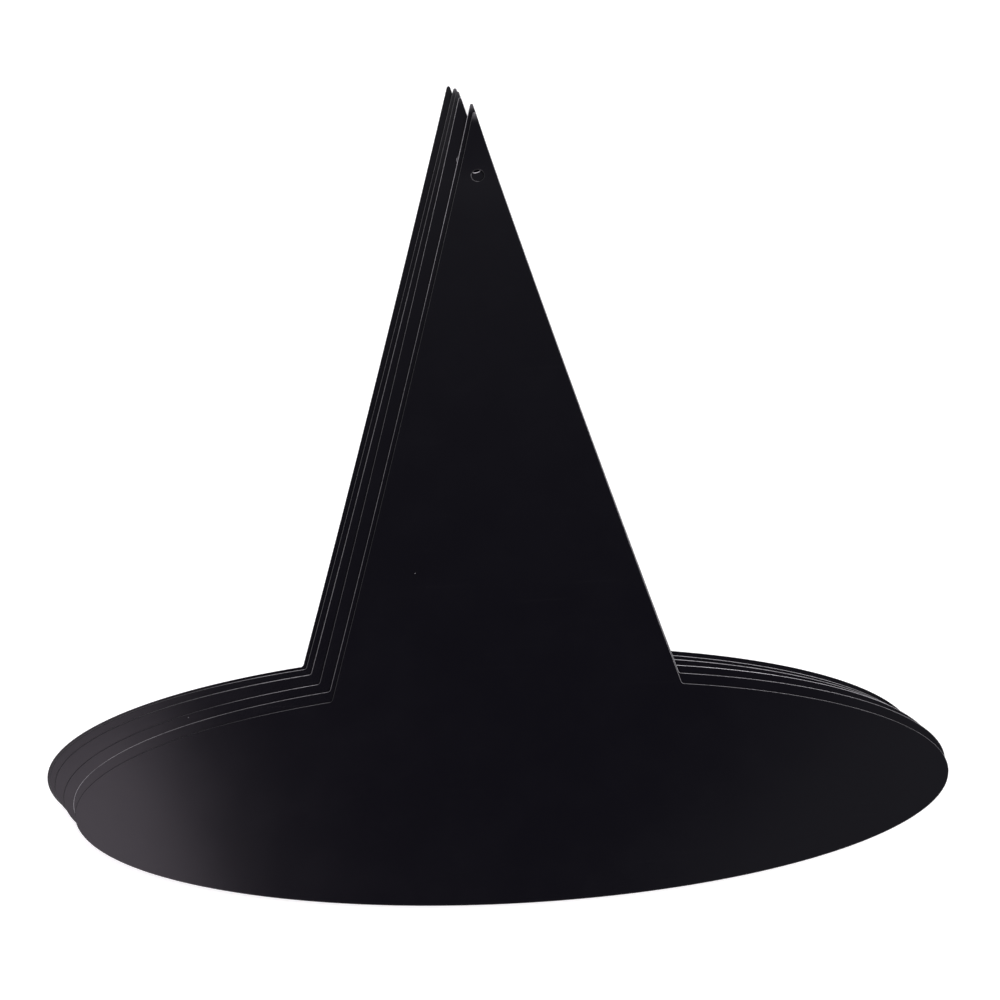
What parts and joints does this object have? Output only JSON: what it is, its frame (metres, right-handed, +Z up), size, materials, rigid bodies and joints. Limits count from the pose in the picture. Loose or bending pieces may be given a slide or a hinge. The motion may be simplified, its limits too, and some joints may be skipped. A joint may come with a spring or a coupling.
{
  "type": "witch hat cut-out pile",
  "caption": "Loose pile of identical flat witch hat silhouettes in satin black plastic sheet, each with a round hole near the point for a hanging ribbon.",
  "frame": {"origin": "brim centre of the lowest cut-out, on its underside, where the pile rests on a table", "axes": "+Z up off the table, +Y from the brim to the point of the lowest cut-out, +X along its brim"},
  "size_m": [0.3617, 0.3604, 0.0045],
  "materials": {
    "black_sheet": "satin"
  },
  "bodies": {
    "cutout_1": {"hat_cutout_1": "black_sheet"},
    "cutout_2": {"hat_cutout_2": "black_sheet"},
    "cutout_3": {"hat_cutout_3": "black_sheet"},
    "cutout_4": {"hat_cutout_4": "black_sheet"},
    "cutout_5": {"hat_cutout_5": "black_sheet"},
    "cutout_6": {"hat_cutout_6": "black_sheet"}
  },
  "joints": [
    {"name": "lift_2", "type": "slide", "parent": "cutout_1", "child": "cutout_2", "axis": [0, 0, 1], "range_m": [0, 0.04]},
    {"name": "lift_3", "type": "slide", "parent": "cutout_2", "child": "cutout_3", "axis": [0, 0, 1], "range_m": [0, 0.04]},
    {"name": "lift_4", "type": "slide", "parent": "cutout_3", "child": "cutout_4", "axis": [0, 0, 1], "range_m": [0, 0.04]},
    {"name": "lift_5", "type": "slide", "parent": "cutout_4", "child": "cutout_5", "axis": [0, 0, 1], "range_m": [0, 0.04]},
    {"name": "lift_6", "type": "slide", "parent": "cutout_5", "child": "cutout_6", "axis": [0, 0, 1], "range_m": [0, 0.04]}
  ]
}
